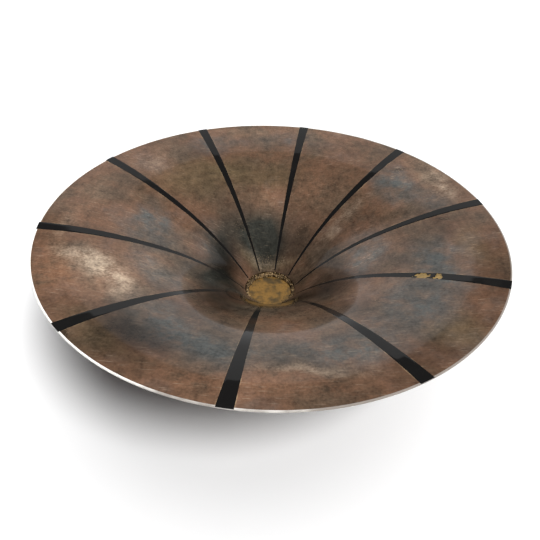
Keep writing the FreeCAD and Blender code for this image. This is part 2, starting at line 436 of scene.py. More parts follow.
PATINA_AND_PAINTED_LIGHT_LAYERS = (
    Layer("cool", 0.2, (
        Spot(-0.48, -0.29, 0.17, 0.11, -40, 0.8), Spot(-0.34, -0.62, 0.30, 0.12, -35, 1.0),
        Spot(-0.08, -0.73, 0.24, 0.11, -5, 1.0), Spot(0.22, -0.73, 0.17, 0.11, 10, 0.9),
        Spot(0.46, -0.60, 0.24, 0.15, 30, 0.7), Spot(0.62, -0.36, 0.26, 0.18, 60, 1.0),
        Spot(0.68, -0.14, 0.15, 0.13, 0, 0.8), Spot(0.64, 0.38, 0.15, 0.21, 15, 0.9),
        Spot(0.80, 0.22, 0.09, 0.13, 20, 0.7), Spot(0.42, 0.00, 0.17, 0.20, 0, 0.6),
        Spot(-0.55, -0.02, 0.15, 0.17, 10, 0.8), Spot(-0.58, 0.14, 0.09, 0.15, 0, 0.6),
        Spot(-0.30, 0.10, 0.11, 0.15, 0, 0.6), Spot(-0.38, 0.78, 0.20, 0.09, 30, 0.6),
        Spot(0.05, 0.84, 0.34, 0.08, 0, 0.45),
    )),
    Layer("red", 0.3, (
        Spot(-0.82, -0.08, 0.15, 0.15, 0, 0.8), Spot(-0.86, -0.36, 0.11, 0.24, 20, 0.9),
        Spot(0.45, 0.20, 0.20, 0.13, 30, 0.8), Spot(0.28, 0.52, 0.24, 0.15, -20, 0.6),
        Spot(0.00, -0.90, 0.55, 0.08, 0, 0.8), Spot(0.82, -0.46, 0.10, 0.24, -30, 0.7),
        Spot(-0.60, 0.36, 0.16, 0.08, 30, 0.5),
    )),
    Layer("ochre", 0.2, (
        Spot(-0.42, 0.50, 0.28, 0.14, 35, 0.8), Spot(-0.02, 0.165, 0.16, 0.035, 0, 1.0),
        Spot(-0.10, 0.58, 0.30, 0.10, 0, 0.8), Spot(-0.52, -0.74, 0.20, 0.08, -40, 0.7),
        Spot(0.62, -0.66, 0.14, 0.10, 40, 0.8), Spot(0.88, -0.18, 0.08, 0.16, 0, 0.6),
    )),
    # Dark grey-olive patina round the neck, laid on heavily enough that it also paints shade into the
    # neck's recess.
    Layer("dark", 0.1, (
        Spot(-0.04, 0.28, 0.28, 0.15, 0, 1.0), Spot(0.00, -0.26, 0.42, 0.20, 0, 0.7),
        Spot(-0.24, 0.16, 0.16, 0.14, 0, 0.6), Spot(0.24, 0.16, 0.14, 0.10, 0, 0.1),
        Spot(0.25, 0.02, 0.10, 0.18, 0, 0.5), Spot(-0.25, 0.00, 0.09, 0.20, 0, 0.7),
        Spot(-0.02, 0.24, 0.12, 0.10, 0, 0.7), Spot(-0.16, -0.10, 0.10, 0.12, 0, 0.6),
        Spot(-0.28, -0.12, 0.15, 0.15, 0, 0.9),
    )),
    Layer("worn", 0.0, (
        Spot(-0.73, -0.32, 0.17, 0.09, -32, 1.0), Spot(-0.60, -0.44, 0.11, 0.06, -40, 0.7),
        Spot(-0.88, -0.10, 0.05, 0.12, 0, 0.3), Spot(0.86, 0.36, 0.07, 0.16, 15, 0.6),
        Spot(-0.66, 0.54, 0.10, 0.16, -40, 0.22), Spot(0.16, -0.83, 0.22, 0.03, 0, 0.45),
        Spot(0.00, 0.17, 0.11, 0.03, 0, 0.25), Spot(0.36, 0.24, 0.20, 0.05, 30, 0.5),
    )),
    # Painted light, in part: these patches brighten the patina's lightness. Some stand for lighter
    # worn patina, others are painted light, on the inner back wall behind the neck and in bands along
    # the back and front rim.
    Layer("light", -0.2, (
        Spot(-0.70, -0.38, 0.26, 0.17, -30, 0.9), Spot(-0.02, 0.165, 0.15, 0.03, 0, 1.0),
        Spot(-0.48, -0.26, 0.18, 0.13, -30, 0.5), Spot(0.42, 0.02, 0.20, 0.17, 0, 0.45),
        Spot(0.00, 0.42, 0.17, 0.13, 0, 0.8), Spot(0.28, 0.46, 0.22, 0.14, -20, 0.45),
        Spot(0.80, 0.48, 0.12, 0.22, 25, 0.7), Spot(0.00, 0.93, 0.60, 0.08, 0, 0.45),
        Spot(-0.02, -0.90, 0.34, 0.09, 0, 0.50), Spot(-0.84, -0.42, 0.10, 0.20, -25, 0.50),
        Spot(0.46, -0.28, 0.16, 0.12, 20, 0.45), Spot(-0.86, 0.12, 0.10, 0.30, 0, 0.30),
        Spot(0.62, 0.26, 0.14, 0.12, 0, 0.35),
    )),
    # Painted shade: these patches darken the patina's lightness, most of all round the neck's recess
    # and on the front inner wall, with smaller patches near the rim.
    Layer("shade", 0.1, (
        Spot(0.02, -0.28, 0.42, 0.20, 0, 0.35), Spot(-0.22, -0.05, 0.17, 0.22, 0, 0.55),
        Spot(-0.20, -0.32, 0.19, 0.15, 0, 0.60), Spot(-0.22, 0.04, 0.12, 0.18, 0, 0.30),
        Spot(0.02, -0.24, 0.26, 0.10, 0, 0.30), Spot(0.26, -0.16, 0.17, 0.12, 0, 0.60),
        Spot(0.28, -0.46, 0.18, 0.11, 20, 0.40), Spot(-0.25, -0.48, 0.24, 0.14, -25, 0.42),
        Spot(-0.42, -0.69, 0.26, 0.11, -30, 0.78), Spot(-0.47, -0.81, 0.18, 0.07, -30, 0.40),
        Spot(0.50, -0.78, 0.20, 0.10, 30, 0.32), Spot(0.88, -0.40, 0.08, 0.30, -20, 0.22),
        Spot(0.80, 0.02, 0.08, 0.16, 0, 0.30), Spot(-0.40, 0.70, 0.18, 0.10, 30, 0.30),
        Spot(-0.22, 0.14, 0.12, 0.14, 0, 0.22), Spot(0.00, -0.19, 0.22, 0.08, 0, 0.55),
        Spot(0.10, 0.24, 0.13, 0.08, 0, 0.30), Spot(0.25, 0.00, 0.10, 0.13, 0, 0.15),
    )),
)


def strayed(places: np.ndarray, reach: float) -> np.ndarray:
    """Places pushed about by noise, so that what is laid there loses its outline.

    Args:
        places: across and along for each place, in metres.
        reach: the rim's radius.

    Returns:
        The places in shares of the rim's radius.
    """
    pushes = ((14.0, 0.0120), (38.0, 0.0060), (110.0, 0.0022))
    moved = np.array(places)
    for index, (x, y) in enumerate(places):
        for scale, amount in pushes:
            push = noise.noise_vector(Vector((x * scale, y * scale, scale)))
            moved[index] += (push.x * amount, push.y * amount)
    return moved / reach


@dataclass(frozen=True)
class Finish:
    """A material: its name, and how deep and how rough its surface is."""

    name: str
    roughness: float = 0.4
    metallic: float = 0.0
    coat: float = 0.0
    coat_roughness: float = 0.05

    def colour(self, bench: PaintBench) -> None:
        """Link what varies over the surface to the shader."""
        raise NotImplementedError

    def make(self) -> Material:
        """Build the material."""
        material = bpy.data.materials.new(self.name)
        constants = {
            "Roughness": self.roughness,
            "Metallic": self.metallic,
            "Coat Weight": self.coat,
            "Coat Roughness": self.coat_roughness,
            "Coat IOR": 1.5,
            "Specular IOR Level": 0.5 * (1.0 - self.coat),
        }
        self.colour(PaintBench(material, constants))
        return material


@dataclass(frozen=True)
class SpunPatina(Finish):
    """Brown patina on spun sheet, with cloudy, worn and scratched places under lacquer, and painted
    light and painted shade in its lightness.
    """

    radius: float = 0.2
    lightness: float = 0.50
    least_light: float = 0.42
    neck_coat: float = 0.15
    least_metal: float = 0.22
    bare_edge: float = 0.4
    copper: Colour = (0.240, 0.160, 0.104)
    red: Colour = (0.250, 0.128, 0.074)
    cool: Colour = (0.150, 0.158, 0.150)
    ochre: Colour = (0.225, 0.158, 0.086)
    dark: Colour = (0.080, 0.080, 0.066)
    worn: Colour = (0.600, 0.460, 0.330)
    bare: Colour = (0.900, 0.660, 0.380)
    scratches: tuple[tuple[float, float], ...] = ((28.0, 0.55), (-35.0, 0.8), (96.0, 0.7))
    bare_spots: tuple[Spot, ...] = (
        Spot(0.69, 0.52, 0.055, 0.014, -6, 1.0),
        Spot(0.80, 0.07, 0.035, 0.012, -20, 0.9),
        Spot(-0.66, -0.735, 0.045, 0.010, -46, 1.2),
        Spot(0.42, -0.42, 0.020, 0.008, 10, 0.8),
        Spot(-0.17, 0.28, 0.055, 0.030, 0, 0.50),
        Spot(0.16, 0.27, 0.040, 0.030, 0, 0.45),
        Spot(-0.02, 0.165, 0.120, 0.025, 0, 0.50),
    )

    def laid_bare(self, bench: Bench, flat: object) -> Term:
        """Mask of the places where bare metal shows, each up to its strength.

        Args:
            bench: the nodes to add to.
            flat: the place seen from above.

        Returns:
            The mask.
        """
        total: Term | float = 0.0
        for spot in self.bare_spots:
            inputs = {
                "Vector": flat,
                "Location": (spot.across * self.radius, spot.along * self.radius, 0.0),
                "Rotation": (0.0, 0.0, math.radians(spot.turn)),
                "Scale": (spot.length * self.radius, spot.width * self.radius, 1.0),
            }
            local = bench.node("ShaderNodeMapping", {"vector_type": "TEXTURE"}, inputs)
            far = bench.length(local.outputs[0])
            total = bench.ramp(far, FADE_END, self.bare_edge) * spot.strength + total
        return total

    def scratched(self, bench: Bench, flat: object) -> Term:
        """Mask of short thin lines, in sets that each run one way.

        Args:
            bench: the nodes to add to.
            flat: the place seen from above.

        Returns:
            The mask.
        """
        sets = []
        for turn, fineness in self.scratches:
            inputs = {
                "Vector": flat,
                "Rotation": (0.0, 0.0, math.radians(turn)),
                "Scale": (70.0, 1500.0 * fineness, 1.0),
            }
            lined = bench.node("ShaderNodeMapping", {}, inputs).outputs[0]
            sets.append(bench.ramp(bench.grain(lined, 1.0, 1.0), 0.66, 0.74))
        lines, *others = sets
        for other in others:
            lines = lines.most(other)
        return lines

    def colour(self, bench: PaintBench) -> None:
        """Lay the patina's colours over each other, then the wear, then the painted light and painted
        shade.

        Args:
            bench: the nodes to add to.
        """
        flat = bench.flatten(bench.place)
        loose = bench.drift(flat, 120.0, 0.006)
        out = bench.length(flat)
        coat = bench.ramp(out, 0.032, 0.058) * (1.0 - self.neck_coat) + self.neck_coat
        bench.paint("Coat Weight", coat)
        spun = bench.rings(flat, out * 26.0, 0.9, 5.0, 0.6)
        clouds = bench.grain(flat, 17.0, 6.0, 0.6)
        mottle = bench.grain(flat, 75.0, 6.0, 0.65)
        speck = bench.grain(flat, 520.0, 3.0, 0.6)

        colour = bench.mix(bench.ramp(clouds, 0.36, 0.62), self.copper, self.red)
        # The light and shade layers carry painted light and painted shade; the dark layer is partly
        # painted shade.
        reds, ochres, cools, dark_patina_and_shade, worn, painted_light_and_wear, shade = (
            bench.stored(name) for name in ("red", "ochre", "cool", "dark", "worn", "light", "shade")
        )
        colour = bench.mix(reds * bench.ramp(mottle, 0.30, 0.60), colour, self.red)
        colour = bench.mix(ochres * 0.85, colour, self.ochre)
        veil = bench.ramp(clouds, 0.50, 0.66) * 0.35
        veil = (cools * 0.85 + veil) * (bench.ramp(mottle, 0.66, 0.40) * 0.5 + 0.5)
        colour = bench.mix(veil, colour, self.cool)
        # Dark patina round the neck, which also acts as painted shade in the recess.
        colour = bench.mix(dark_patina_and_shade * 0.9, colour, self.dark)

        lines = self.scratched(bench, flat)
        rubbed = worn * bench.ramp(mottle + speck * 0.35, 0.52, 0.84)
        haze = bench.ramp(clouds + mottle * 0.5, 0.72, 0.98)
        colour = bench.mix(rubbed + worn * 0.25, colour, self.worn)
        colour = bench.mix(lines * (worn * 0.6 + haze * 0.35 + 0.20), colour, self.worn)
        bare = self.laid_bare(bench, loose)
        dots = bench.grain(flat, 850.0, 2.0)
        rough_edge = bench.stored("channel_edge") * bench.ramp(mottle, 0.46, 0.62)
        colour = bench.mix(bare * bench.ramp(dots, 0.60, 0.66) + rough_edge * 0.5, colour, self.bare)
        pits = bench.ramp(bench.grain(flat, 300.0, 2.0), 0.62, 0.72) * 0.35
        fleck = bench.grain(flat, 190.0, 4.0, 0.6)
        spread = clouds * 2.1 + mottle * 1.3 + fleck * 0.9 + speck * 1.1 + spun * 0.7 - 3.05
        # Painted light: the light layer brightens the patina's lightness, where it is not lighter worn
        # patina.
        light_and_wear_gain = painted_light_and_wear + 1.0
        # Painted shade: the shade layer darkens the patina's lightness.
        painted_shade_gain = 1.0 - shade.clamp() * 0.93
        light = (spread + 1.0 - pits * 0.4).most(self.least_light) * light_and_wear_gain * painted_shade_gain * self.lightness
        bench.paint("Base Color", bench.scaled(colour, light))
        metal = (bare + rubbed * 0.5).clamp() * 0.5 + self.least_metal
        bench.paint("Metallic", metal.clamp())
        bench.bump(mottle * 0.5 + spun * 0.6 + speck * 0.2 - lines * 0.15, 0.05 * MM)


@dataclass(frozen=True)
class UnderPatina(Finish):
    """Duller patina on the sheet's under face, with the rings that spinning leaves."""

    brown: Colour = (0.110, 0.060, 0.034)
    tarnish: Colour = (0.045, 0.038, 0.030)

    def colour(self, bench: PaintBench) -> None:
        """Rings of tarnish on brown.

        Args:
            bench: the nodes to add to.
        """
        flat = bench.flatten(bench.place)
        spun = bench.rings(flat, bench.length(flat) * 60.0, 0.35, 4.0, 0.6)
        clouds = bench.grain(bench.place, 15.0, 5.0)
        speck = bench.grain(bench.place, 300.0, 3.0)
        mixed = bench.mix(bench.ramp(clouds * 0.6 + spun * 0.4, 0.42, 0.62), self.brown, self.tarnish)
        bench.paint("Base Color", bench.scaled(mixed, spun * 0.7 + speck * 0.5 + 0.4))
        bench.paint("Roughness", spun * 0.25 + self.roughness)
        bench.bump(spun + speck * 0.2, 0.10 * MM)


@dataclass(frozen=True)
class BlackLacquer(Finish):
    """Black inlay with dust, hair scratches, and brass where it has flaked away."""

    black: Colour = (0.0060, 0.0056, 0.0052)
    dust: Colour = (0.014, 0.013, 0.012)
    brass: Colour = (0.600, 0.390, 0.130)

    def colour(self, bench: PaintBench) -> None:
        """Black with dusty streaks, then the flaked places.

        Args:
            bench: the nodes to add to.
        """
        speck = bench.grain(bench.place, 500.0, 3.0)
        smear = bench.grain(bench.place, 40.0, 5.0, 0.65)
        colour = bench.mix(bench.ramp(smear, 0.52, 0.74) * 0.45, self.black, self.dust)
        colour = bench.mix(bench.ramp(speck, 0.66, 0.74) * 0.4, colour, self.dust)
        gone = bench.ramp(bench.stored("flaked"), 0.35, 0.6)
        metal = bench.scaled(self.brass, bench.grain(bench.place, 260.0, 4.0) * 1.1 + 0.35)
        bench.paint("Base Color", bench.mix(gone, colour, metal))
        bench.paint("Metallic", gone * 0.75)
        bench.bump(smear * 0.4 + speck * 0.1, 0.05 * MM)


@dataclass(frozen=True)
class AgedBrass(Finish):
    """Dull brass with dark specks and cloudy tarnish."""

    brass: Colour = (0.345, 0.190, 0.048)
    tarnish: Colour = (0.120, 0.080, 0.034)
    speck: Colour = (0.035, 0.026, 0.014)
    specks: float = 1.0
    lathe_rings: float = 0.0

    def colour(self, bench: PaintBench) -> None:
        """Tarnish and specks on brass, with turning marks where it was turned.

        Args:
            bench: the nodes to add to.
        """
        cloud = bench.grain(bench.place, 90.0, 5.0, 0.6)
        fine = bench.grain(bench.place, 700.0, 3.0)
        colour = bench.mix(bench.ramp(cloud, 0.42, 0.66), self.brass, self.tarnish)
        dots = bench.ramp(bench.grain(bench.place, 520.0, 3.0), 0.58, 0.68) * self.specks
        colour = bench.mix(dots * 0.5, colour, self.speck)
        flat = bench.flatten(bench.place)
        marks = (bench.length(flat) + bench.axis(bench.place, "Z")) * 130.0
        turned = bench.rings(flat, marks, 0.3, 2.0) * self.lathe_rings
        colour = bench.scaled(colour, fine * 0.6 + turned * 0.4 + 0.6)
        bench.paint("Base Color", colour)
        bench.paint("Roughness", cloud * 0.25 + self.roughness)
        bench.bump(cloud * 0.5 + fine * 0.2 + turned - dots * 0.3, 0.10 * MM)


@dataclass(frozen=True)
class Braze(Finish):
    """Rough brazing metal: bright on its crests, sooty in its hollows."""

    crest: Colour = (0.620, 0.430, 0.220)
    hollow: Colour = (0.070, 0.045, 0.026)

    def colour(self, bench: PaintBench) -> None:
        """Mix by fine and coarse noise, with painted shadow darkening the crests towards the front,
        under the neck's lip.

        Args:
            bench: the nodes to add to.
        """
        lumps = bench.grain(bench.place, 420.0, 4.0, 0.6)
        soot = bench.grain(bench.place, 60.0, 3.0)
        # Painted shadow: crests at the front (negative Y) are darkened, as if in shade under the
        # neck's lip.
        painted_lip_shadow = bench.ramp(bench.axis(bench.place, "Y"), -0.010, -0.020) * 0.75
        worn = bench.ramp(lumps * 0.75 + soot * 0.35, 0.46, 0.68) * (1.0 - painted_lip_shadow)
        bench.paint("Base Color", bench.mix(worn, self.hollow, self.crest))
        bench.paint("Roughness", 0.75 - worn * 0.35)
        bench.bump(lumps, 0.35 * MM)


@dataclass(frozen=True)
class BareEdgeWithPaintedGlint(Finish):
    """Sheet metal's cut edge, bare metal with a painted highlight: near-white on the left side,
    tarnished towards the right.
    """

    metal: Colour = (0.95, 0.92, 0.86)
    tarnish: Colour = (0.16, 0.125, 0.10)

    def colour(self, bench: PaintBench) -> None:
        """Painted highlight: near-white metal on the left side, more tarnished towards the right.

        Args:
            bench: the nodes to add to.
        """
        rub = bench.grain(bench.place, 35.0, 4.0)
        side = bench.axis(bench.place, "X") - bench.axis(bench.place, "Y") * 0.25
        # Painted highlight: the edge is near-white towards the left side and blends to tarnish towards
        # the right.
        tarnish_away_from_glint = bench.ramp(side * 2.2 + rub, 0.30, 0.72) * 0.85
        bench.paint("Base Color", bench.mix(tarnish_away_from_glint, self.metal, self.tarnish))
        bench.paint("Roughness", rub * 0.2 + self.roughness)


@dataclass(frozen=True)
class PaleFloor(Finish):
    """Matt pale studio floor."""

    white: Colour = (0.86, 0.86, 0.86)

    def colour(self, bench: PaintBench) -> None:
        """One colour all over."""
        bench.paint("Base Color", self.white)


# ---------------------------------------------------------------------------------------------
# The dish's shape
# ---------------------------------------------------------------------------------------------


@dataclass
class Flare:
    """Section of the spun sheet: two tangent arcs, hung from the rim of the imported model."""

    rim_slope: float = math.radians(9.9)
    outer_arc: float = 0.366
    inner_arc: float = 0.234
    blend: float = 0.100
    gauge: float = 1.2 * MM
    channel: float = 0.4 * MM
    rim: float = field(init=False)
    neck: float = field(init=False)

    def __post_init__(self) -> None:
        """Read the rim and the neck from the shell's node, and place the arcs' centres."""
        places = [point.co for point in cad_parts["flared_shell"].data.vertices]
        top = max(point.z for point in places)
        self.rim = max(math.hypot(p.x, p.y) for p in places if p.z > top - 0.01 * MM)
        self.neck = min(math.hypot(p.x, p.y) for p in places)
        self.outer_centre = self.rim + self.outer_arc * math.sin(self.rim_slope)
        self.outer_base = top - self.outer_arc * math.cos(self.rim_slope)
        sine = (self.outer_centre - self.blend) / self.outer_arc
        apart = self.outer_arc - self.inner_arc
        self.inner_centre = self.outer_centre - apart * sine
        self.inner_base = self.outer_base + apart * math.sqrt(1.0 - sine * sine)

    def point(self, radius: float, depth: float = 0.0) -> tuple[float, float]:
        """Place under the upper face.

        Args:
            radius: distance from the axis on the upper face.
            depth: how far below the face, along its normal.

        Returns:
            Distance from the axis, and height.
        """
        inside = radius < self.blend
        arc = self.inner_arc if inside else self.outer_arc
        centre = self.inner_centre if inside else self.outer_centre
        base = self.inner_base if inside else self.outer_base
        rise = math.sqrt(arc**2 - (centre - radius) ** 2)
        share = depth / arc
        return radius + (centre - radius) * share, base + rise * (1.0 - share)


def add_piece(
    name: str, mesh: bpy.types.Mesh, materials: Sequence[Material], crease: float = 35.0
) -> bpy.types.Object:
    """Put a mesh in the scene.

    Args:
        name: the piece's name.
        mesh: its mesh, which is made smooth.
        materials: what it is made of, unless the mesh already has materials.
        crease: the turn in degrees past which an edge stays sharp.

    Returns:
        The piece.
    """
    mesh.shade_smooth()
    mesh.set_sharp_from_angle(angle=math.radians(crease))
    piece = bpy.data.objects.new(name, mesh)
    bpy.context.scene.collection.objects.link(piece)
    if not mesh.materials:
        for material in materials:
            mesh.materials.append(material)
    return piece


def join_frame(piece: bpy.types.Object, node: str) -> bpy.types.Object:
    """Tie a piece to the frame, in the place of one of its nodes.

    Args:
        piece: the piece.
        node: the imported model's node that it stands for.

    Returns:
        The same piece.
    """
    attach(piece, ROOT)
    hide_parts(node)
    log.info("%s stands for %s", piece.name, node)
    return piece


def lathe(name: str, section: Sequence[tuple[float, float]], steps: int = 256) -> bpy.types.Mesh:
    """Turn a section round the axis.

    Args:
        name: the mesh's name.
        section: distances from the axis and heights, with the solid on the left of the path.
        steps: how many flats the turn has.

    Returns:
        The mesh. A point on the axis becomes one vertex.
    """
    points: list[tuple[float, float, float]] = []
    rows: list[list[int]] = []
    for radius, height in section:
        if radius < TINY:
            rows.append([len(points)] * steps)
            points.append((0.0, 0.0, height))
            continue
        rows.append(list(range(len(points), len(points) + steps)))
        for step in range(steps):
            angle = math.tau * step / steps
            points.append((radius * math.cos(angle), radius * math.sin(angle), height))
    faces = []
    for inner, outer in zip(rows, rows[1:]):
        for step in range(steps):
            following = (step + 1) % steps
            corners = [inner[step], inner[following], outer[following], outer[step]]
            unique = list(dict.fromkeys(corners))
            if len(unique) > 2:
                faces.append(unique)
    mesh = bpy.data.meshes.new(name)
    mesh.from_pydata(points, [], faces)
    mesh.validate()
    return mesh


class Face(Enum):
    """Material slots of the shell."""

    UPPER = 0
    UNDER = 1
    EDGE = 2


@dataclass
class Stripe:
    """One inlay: its number, and where its lacquer has flaked, in shares of the rim's radius."""

    number: int
    flakes: tuple[tuple[float, float], ...] = ()

    @property
    def node(self) -> str:
        """The stripe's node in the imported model."""
        return f"stripe_{self.number:02d}"

    def span(self) -> tuple[float, float]:
        """Middle direction and angular width, read from the node's vertices."""
        places = [point.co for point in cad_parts[self.node].data.vertices]
        middle = sum(places, Vector()) / len(places)
        heading = math.atan2(middle.y, middle.x)
        turned = [math.remainder(math.atan2(p.y, p.x) - heading, math.tau) for p in places]
        return heading + (max(turned) + min(turned)) / 2.0, max(turned) - min(turned)

    def start(self) -> float:
        """Distance from the axis to the stripe's inner end."""
        return min(math.hypot(p.co.x, p.co.y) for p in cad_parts[self.node].data.vertices)


@dataclass
class Shell:
    """The spun sheet with its channels."""

    flare: Flare
    stripes: Sequence[Stripe]
    rows: int = 96
    sector_steps: int = 34
    edge_round: float = 0.3 * MM
    edge_steps: tuple[float, ...] = (0.0, 0.12, 0.3, 0.5, 0.7, 0.88, 1.0)
    bare_glint_lip: float = 1.1 * MM
    hair: float = math.radians(0.22)

    def columns(self) -> list[tuple[float, bool, float]]:
        """Directions at which the sheet is sampled: angle, in a channel or not, edge shade."""
        made: list[tuple[float, bool, float]] = []
        spans = sorted(stripe.span() for stripe in self.stripes)
        hair = self.hair
        for index, (middle, width) in enumerate(spans):
            left, right = middle - width / 2, middle + width / 2
            following, next_width = spans[(index + 1) % len(spans)]
            if following < middle:
                following += math.tau
            gap_end = following - next_width / 2
            made += [(left, True, 0.0), (middle, True, 0.0), (right, True, 0.0), (right, False, 1.0)]
            made.append((right + hair, False, 0.0))
            room = gap_end - right - 2 * hair
            for step in range(1, self.sector_steps):
                made.append((right + hair + room * step / self.sector_steps, False, 0.0))
            made += [(gap_end - hair, False, 0.0), (gap_end, False, 1.0)]
        return made

    def radii(self) -> list[float]:
        """Distances from the axis at which the upper face is sampled, the channels' start twice."""
        start = self.stripes[0].start()
        span = self.flare.rim - self.bare_glint_lip - start
        outward = [start + span * (step / self.rows) for step in range(self.rows + 1)]
        outward.append(self.flare.rim - self.edge_round)
        inside = [self.flare.neck + (start - self.flare.neck) * step / 3 for step in range(3)]
        return inside + [start] + outward

    def section(self, in_channel: bool) -> list[tuple[float, float, Face]]:
        """Closed section of the sheet: distance from the axis, height, and the face it starts.

        Args:
            in_channel: whether the section runs through a channel.

        Returns:
            Its points in order, each with the face that it starts.
        """
        flare = self.flare
        radii = self.radii()
        doubled = radii.index(self.stripes[0].start())
        path = []
        for index, radius in enumerate(radii):
            depth = flare.channel if in_channel and index > doubled else 0.0
            # The outermost band of the upper face takes the edge's finish: bare metal that also widens
            # the painted highlight along the rim.
            worn = radius > flare.rim - self.bare_glint_lip * 1.1
            path.append((*flare.point(radius, depth), Face.EDGE if worn else Face.UPPER))
        top = flare.channel if in_channel else 0.0
        for share in self.edge_steps:
            depth = top + (flare.gauge - top) * share
            away = abs(2.0 * depth / flare.gauge - 1.0)
            inset = self.edge_round * (1.0 - math.sqrt(max(0.0, 1.0 - away**2)))
            radius, height = flare.point(flare.rim - inset, depth)
            path.append((radius, height, Face.EDGE))
        for radius in reversed(radii[:-1:2]):
            path.append((*flare.point(radius, flare.gauge), Face.UNDER))
        path.append((*flare.point(flare.neck, flare.gauge), Face.EDGE))
        return path

    def build(self, materials: Sequence[Material]) -> bpy.types.Object:
        """Make the sheet as one closed mesh.

        Args:
            materials: what the sheet is made of, in the order of Face.

        Returns:
            The piece.
        """
        columns = self.columns()
        sections = {flag: self.section(flag) for flag in (False, True)}
        size = len(sections[False])
        mesh = bpy.data.meshes.new("spun_shell")
        shaped = bmesh.new()
        shade = shaped.verts.layers.float.new("channel_edge")
        grid = []
        for angle, in_channel, edge in columns:
            line = []
            for radius, height, _ in sections[in_channel]:
                vertex = shaped.verts.new((radius * math.cos(angle), radius * math.sin(angle), height))
                vertex[shade] = edge
                line.append(vertex)
            grid.append(line)
        for index, line in enumerate(grid):
            following = grid[(index + 1) % len(grid)]
            for row in range(size):
                below = (row + 1) % size
                corners = (line[row], line[below], following[below], following[row])
                face = shaped.faces.new(corners)
                face.material_index = sections[False][row][2].value
        bmesh.ops.remove_doubles(shaped, verts=shaped.verts[:], dist=WELD)
        bmesh.ops.dissolve_degenerate(shaped, edges=shaped.edges[:], dist=WELD / 10)
        shaped.to_mesh(mesh)
        shaped.free()
        places = np.array([vertex.co[:2] for vertex in mesh.vertices])
        loose = strayed(places, self.flare.rim)
        for layer in PATINA_AND_PAINTED_LIGHT_LAYERS:
            cover = mesh.attributes.new(layer.name, "FLOAT", "POINT")
            cover.data.foreach_set("value", layer.cover(loose).astype(np.float32))
        piece = add_piece("spun_shell", mesh, materials, 40.0)
        return join_frame(piece, "flared_shell")


class StripeTree(GrowBench):
    """Geometry nodes that lay one stripe on the flare."""

    SIZES = (
        "Turn", "Width", "Start", "Rim", "Blend", "Inner Arc", "Inner Centre", "Inner Base",
        "Outer Arc", "Outer Centre", "Outer Base", "Thickness", "Edge Fall",
        "Flake Place", "Flake Length", "Second Flake Place", "Second Flake Length", "Seed",
    )
    ALONG = 300
    ACROSS = 17
    RAGGED = 3.4

    def __init__(self, material: Material) -> None:
        """Grid, its place on the flare, its thickness, and its material.

        Args:
            material: what the stripe is made of.
        """
        super().__init__("lay_stripe", self.SIZES)
        given = self.given
        counts = {"Vertices X": self.ALONG, "Vertices Y": self.ACROSS, "Size X": 1.0, "Size Y": 1.0}
        grid = self.made("MeshGrid", counts)
        spot = self.made("InputPosition")
        share, side = self.axis(spot, "X") + 0.5, self.axis(spot, "Y")
        radius = given["Start"] + (given["Rim"] - given["Start"]) * share
        angle = given["Turn"] + given["Width"] * side
        across, along = angle.join("COSINE", angle) * radius, angle.join("SINE", angle) * radius
        wild = self.grain(self.xyz(X=across, Y=along, Z=given["Seed"]), 260.0, 4.0, 0.6)
        away = (side * 2.0).size()
        flaked = self.flaked("", radius, side * 2.0, wild)
        flaked = flaked.most(self.flaked("Second ", radius, side * 2.0, wild))
        flaked = flaked.most(self.ramp(wild, 0.70, 0.74) * self.ramp(away, 0.70, 1.0))
        inside = radius < given["Blend"]
        height = self.arc("Inner", radius) * inside + self.arc("Outer", radius) * (1.0 - inside)
        height = height - given["Edge Fall"] * away**8.0 - given["Thickness"] * flaked * 0.8
        named = {"Geometry": grid, "Name": "flaked", "Value": flaked}
        marked = self.made("StoreNamedAttribute", named, {"data_type": "FLOAT", "domain": "POINT"})
        place = self.xyz(X=across, Y=along, Z=height)
        laid = self.made("SetPosition", {"Geometry": marked, "Position": place})
        down = self.xyz(Z=0.0 - given["Thickness"])
        inputs = {"Mesh": laid, "Offset": down, "Offset Scale": 1.0, "Individual": False}
        sunk = self.made("ExtrudeMesh", inputs, {"mode": "FACES"})
        both = self.joined([self.made("FlipFaces", {"Mesh": sunk}), laid])
        self.hand_over(self.made("MergeByDistance", {"Geometry": both, "Distance": WELD}), material)

    def arc(self, which: str, radius: Term) -> Term:
        """Height of the upper face on one of the two arcs."""
        reach = self.given[f"{which} Centre"] - radius
        return (self.given[f"{which} Arc"] ** 2.0 - reach * reach).root() + self.given[f"{which} Base"]

    def flaked(self, which: str, radius: Term, side: Term, wild: Term) -> Term:
        """1 where the lacquer is gone round one place on the stripe.

        Args:
            which: what the names of its inputs begin with.
            radius: distance from the axis.
            side: place across the stripe, from -1 to 1.
            wild: noise that frays the outline.

        Returns:
            The mask.
        """
        none, length = 1e-5, self.given[f"{which}Flake Length"]
        along = (radius - self.given[f"{which}Flake Place"]) / length.most(none)
        near = (along * along + side * side * 0.9).root() + (wild - 0.5) * self.RAGGED
        return self.ramp(near, 1.02, 0.90) * (1.0 - (length < none))


